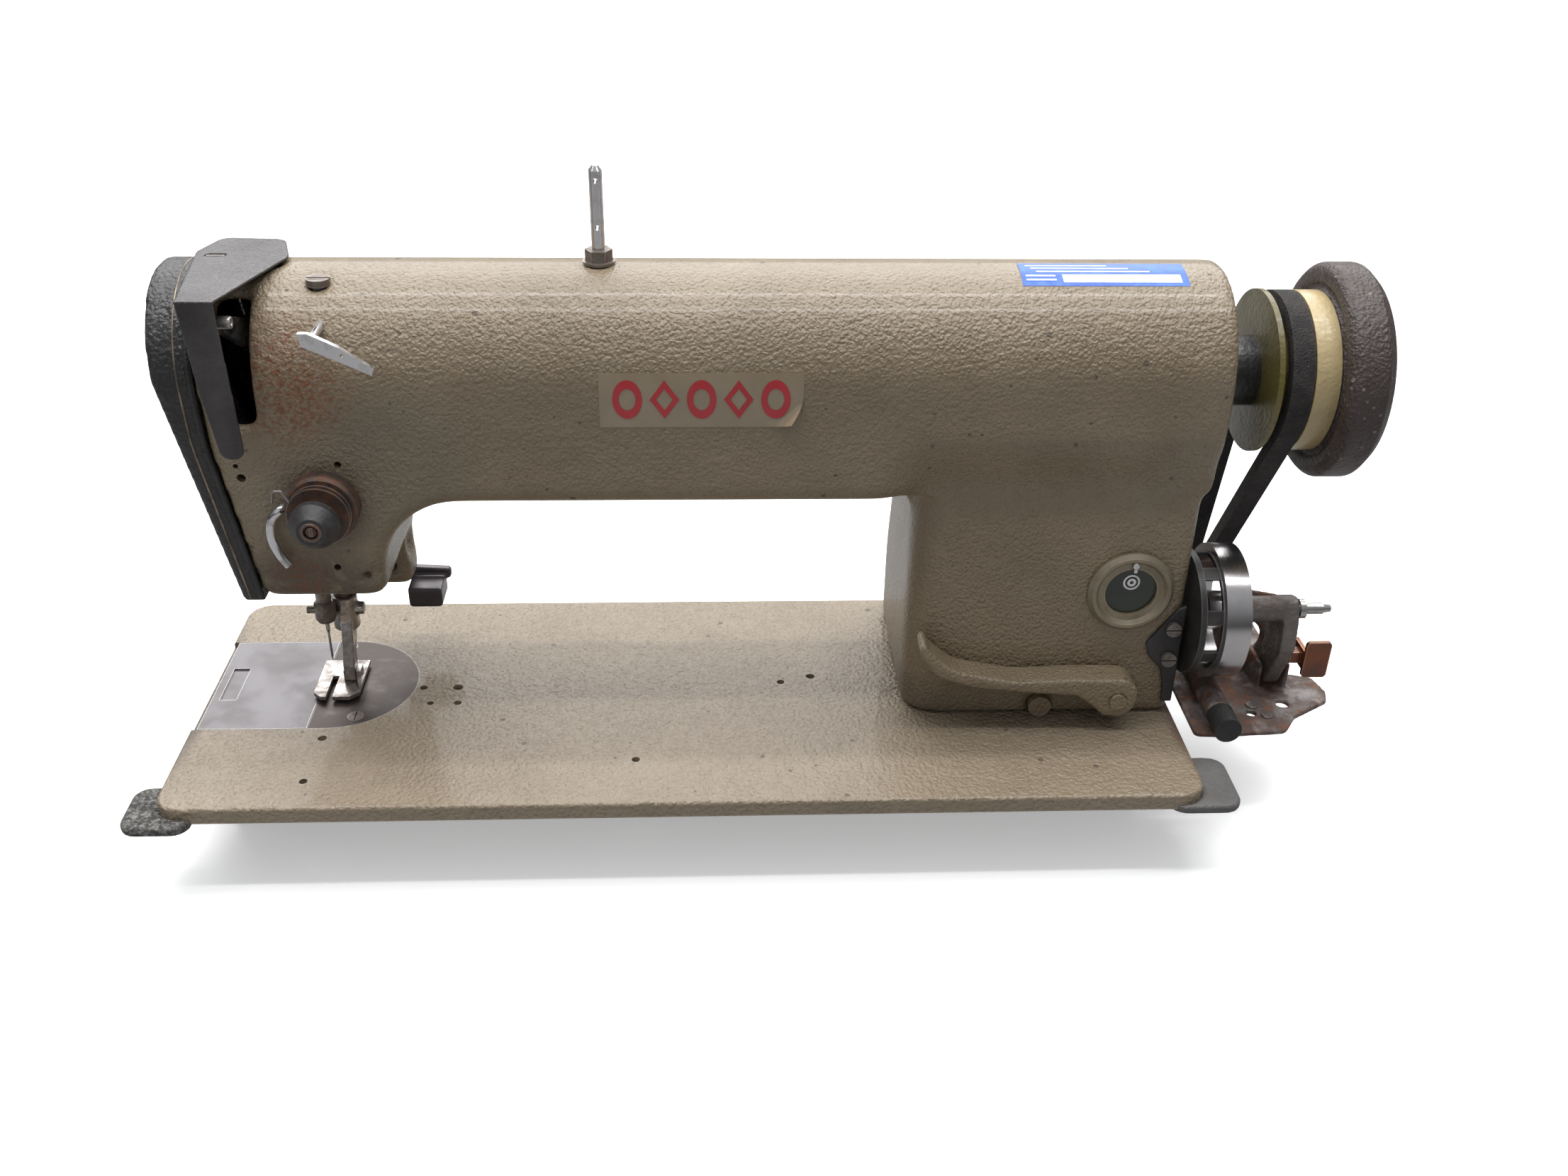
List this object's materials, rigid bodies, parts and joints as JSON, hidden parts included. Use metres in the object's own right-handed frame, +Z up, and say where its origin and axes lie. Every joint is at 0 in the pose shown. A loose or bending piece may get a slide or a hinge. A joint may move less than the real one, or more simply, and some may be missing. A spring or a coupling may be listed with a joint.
{
  "type": "sewing machine",
  "caption": "Industrial flatbed lockstitch sewing-machine head with handwheel, presser foot, thread tension, reverse lever and side bobbin winder, standing on rubber cushions.",
  "frame": {"origin": "middle of the footprint, on the surface the cushions stand on", "axes": "+X along the bed towards the handwheel, +Y away from the operator, +Z up"},
  "size_m": [0.5719, 0.185, 0.307],
  "materials": {
    "arm_enamel": "semi-gloss orange-peel enamel",
    "bed_enamel": "semi-gloss orange-peel enamel",
    "cover_paint": "satin black, worn at its edges",
    "guard_paint": "satin charcoal",
    "polished_plate": "polished, darkened",
    "bright_plate": "brushed",
    "chrome_parts": "bright, a little pitted",
    "rusty_steel": "grey with rust",
    "spring_steel": "drawn",
    "black_plastic": "satin black",
    "window_trim": "satin, yellowed",
    "window_glass": "dark, oily",
    "screw_steel": "dull",
    "shaft_steel": "ground",
    "bronze_bush": "turned",
    "forged_steel": "oily, as machined",
    "belt_rubber": "frayed fabric-faced rubber",
    "yellow_plastic": "yellowed, grimy",
    "wheel_paint": "hammered brown, worn",
    "bar_steel": "ground, grimy",
    "needle_steel": "polished",
    "foot_steel": "plated, worn",
    "lifter_steel": "dark, bright edges",
    "aluminium_bobbin": "turned",
    "cushion_rubber_dark": "matte",
    "winder_steel": "cast, grimy",
    "copper_plate": "copper-toned, tarnished",
    "winder_wheel_steel": "black hub, turned bright ring",
    "cushion_rubber": "smooth grey, grimy"
  },
  "bodies": {
    "head": {"arm_casting": "arm_enamel", "bed_casting": "bed_enamel", "face_cover": "cover_paint", "take_up_guard": "guard_paint", "needle_plate": "polished_plate", "thread_post": "chrome_parts", "thread_post_nut": "chrome_parts", "arm_thread_guide": "chrome_parts", "hook_thread_guide": "chrome_parts", "tension_base": "rusty_steel", "tension_discs": "rusty_steel", "tension_spring": "spring_steel", "oil_plug": "arm_enamel", "window_bezel": "window_trim", "window_glass": "window_glass", "belt_guard": "black_plastic", "rear_cover": "arm_enamel", "machine_screws": "screw_steel", "bed_bolts": "screw_steel", "lever_pin": "arm_enamel", "take_up_stud": "shaft_steel", "shaft_bushes": "bronze_bush", "bar_bushes": "bronze_bush", "timing_belt": "belt_rubber", "v_belt": "belt_rubber", "bobbin_case": "bright_plate", "winder_base": "rusty_steel", "winder_stop_tip": "cushion_rubber_dark", "rubber_cushions": "cushion_rubber"},
    "slide_plate": {"slide_plate": "bright_plate"},
    "tension_knob": {"tension_knob": "black_plastic"},
    "check_spring": {"check_spring": "spring_steel"},
    "shaft": {"main_shaft": "shaft_steel", "crank": "forged_steel", "upper_drive_pulley": "forged_steel", "belt_pulley": "yellow_plastic", "handwheel": "wheel_paint"},
    "take_up": {"take_up_lever": "shaft_steel"},
    "needle_bar": {"needle_bar": "bar_steel", "needle_clamp": "bar_steel", "needle": "needle_steel", "needle_bar_link": "forged_steel"},
    "presser": {"presser_bar": "bar_steel", "presser_foot": "foot_steel", "presser_spring": "spring_steel"},
    "foot_sole": {"foot_sole": "foot_steel"},
    "lifter": {"hand_lifter": "lifter_steel"},
    "hook": {"hook_shaft": "shaft_steel", "lower_drive_pulley": "forged_steel", "rotary_hook": "bright_plate"},
    "bobbin": {"bobbin": "aluminium_bobbin"},
    "feed": {"feed_bar": "forged_steel", "feed_dog": "foot_steel"},
    "rock_shaft": {"feed_rock_shaft": "shaft_steel"},
    "reverse": {"reverse_lever": "arm_enamel"},
    "button": {"stitch_button": "arm_enamel"},
    "winder_frame": {"winder_arm": "winder_steel", "winder_latch": "copper_plate"},
    "winder_wheel": {"winder_wheel": "winder_wheel_steel", "winder_spindle": "shaft_steel"}
  },
  "joints": [
    {"name": "handwheel_turn", "type": "hinge", "parent": "head", "child": "shaft", "pos_m": [0.028, 0.0145, 0.215], "axis": [1, 0, 0], "continuous": true},
    {"name": "hook_turn", "type": "hinge", "parent": "head", "child": "hook", "pos_m": [0.028, 0.0145, 0.021], "axis": [1, 0, 0], "continuous": true},
    {"name": "bobbin_turn", "type": "hinge", "parent": "head", "child": "bobbin", "pos_m": [-0.222, 0.0145, 0.021], "axis": [1, 0, 0], "continuous": true},
    {"name": "take_up_swing", "type": "hinge", "parent": "head", "child": "take_up", "pos_m": [-0.222, 0.0115, 0.234], "axis": [1, 0, 0], "range_deg": [-8, 44]},
    {"name": "needle_bar_stroke", "type": "slide", "parent": "head", "child": "needle_bar", "axis": [0, 0, 1], "range_m": [-0.0275, 0.002]},
    {"name": "presser_lift", "type": "slide", "parent": "head", "child": "presser", "axis": [0, 0, 1], "range_m": [0, 0.006], "deforming": ["presser_spring"]},
    {"name": "foot_rock", "type": "hinge", "parent": "presser", "child": "foot_sole", "pos_m": [-0.206, 0.0145, 0.054], "axis": [1, 0, 0], "range_deg": [-2, 2]},
    {"name": "hand_lift", "type": "hinge", "parent": "head", "child": "lifter", "pos_m": [-0.182, 0.0425, 0.104], "axis": [0, 1, 0], "range_deg": [-80, 0]},
    {"name": "feed_travel", "type": "slide", "parent": "head", "child": "feed", "axis": [0, 1, 0], "range_m": [-0.00198, 0.00198]},
    {"name": "feed_rock", "type": "hinge", "parent": "head", "child": "rock_shaft", "pos_m": [-0.072, 0.0525, 0.026], "axis": [1, 0, 0], "range_deg": [-8, 8]},
    {"name": "reverse_press", "type": "hinge", "parent": "head", "child": "reverse", "pos_m": [0.171, -0.0195, 0.066], "axis": [0, 1, 0], "range_deg": [-14, 0], "stiffness_Nm_per_rad": 2, "springref_deg": 20.05},
    {"name": "stitch_button_press", "type": "slide", "parent": "head", "child": "button", "axis": [0, 1, 0], "range_m": [0, 0.0024], "stiffness_N_per_m": 1500, "springref_m": -0.002},
    {"name": "tension_turn", "type": "hinge", "parent": "head", "child": "tension_knob", "pos_m": [-0.191, -0.0355, 0.171], "axis": [0, 1, 0], "continuous": true},
    {"name": "check_spring_swing", "type": "hinge", "parent": "head", "child": "check_spring", "pos_m": [-0.191, -0.0375, 0.171], "axis": [0, 1, 0], "range_deg": [-20, 0], "stiffness_Nm_per_rad": 0.02, "springref_deg": 17.19},
    {"name": "slide_plate_travel", "type": "slide", "parent": "head", "child": "slide_plate", "axis": [-1, 0, 0], "range_m": [0, 0.05]},
    {"name": "winder_swing", "type": "hinge", "parent": "head", "child": "winder_frame", "pos_m": [0.258, 0.0005, 0.06], "axis": [1, 0, 0], "range_deg": [-6, 0]},
    {"name": "winder_turn", "type": "hinge", "parent": "winder_frame", "child": "winder_wheel", "pos_m": [0.228, -0.0075, 0.1], "axis": [1, 0, 0], "continuous": true}
  ],
  "couplings": [
    {"joint": "hook_turn", "follows": "handwheel_turn", "ratio": 2},
    {"joint": "hand_lift", "follows": "presser_lift", "rad_per_m": -232.71},
    {"joint": "feed_rock", "follows": "feed_travel", "rad_per_m": -70.4}
  ]
}
